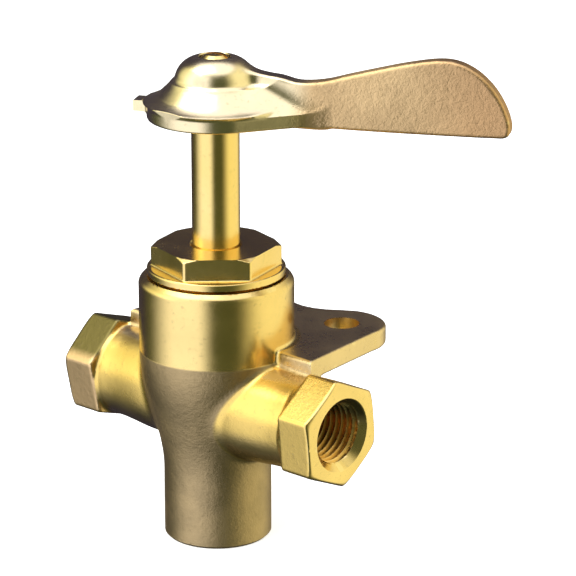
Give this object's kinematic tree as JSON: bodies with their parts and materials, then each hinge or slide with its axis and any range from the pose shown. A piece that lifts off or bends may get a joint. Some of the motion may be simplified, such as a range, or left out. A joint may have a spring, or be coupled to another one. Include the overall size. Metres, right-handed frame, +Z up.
{
  "type": "three-way plug valve",
  "caption": "Cast brass three-way plug valve with a long stem, an upright lever handle, hexagonal threaded side ports, a bottom port and a mounting flange.",
  "frame": {"origin": "centre of the bottom port's mouth, on the stem axis", "axes": "+Z up the stem, +X out of the right side port, +Y towards the mounting flange"},
  "size_m": [0.0872, 0.0472, 0.1019],
  "materials": {
    "cast_brass": "satin, as cast",
    "bright_brass": "machined bright",
    "steel": "plain",
    "rubber": "satin",
    "polymer": "smooth"
  },
  "bodies": {
    "body": {"valve_body": "cast_brass", "bonnet": "bright_brass", "bonnet_gasket": "polymer", "stem_bushing": "polymer", "stop_pin": "steel"},
    "lever": {"tapered_plug": "bright_brass", "spring_seat_lower": "steel", "plug_spring": "steel", "spring_seat_upper": "steel", "stem": "bright_brass", "thrust_washer": "polymer", "stem_o_ring_lower": "rubber", "stem_o_ring_upper": "rubber", "lever_handle": "cast_brass", "flat_washer": "steel", "lock_washer": "steel", "handle_screw": "bright_brass"}
  },
  "joints": [
    {"name": "lever_turn", "type": "hinge", "parent": "body", "child": "lever", "pos_m": [0, 0, 0.07], "axis": [0, 0, 1], "range_deg": [-27, 153]}
  ]
}
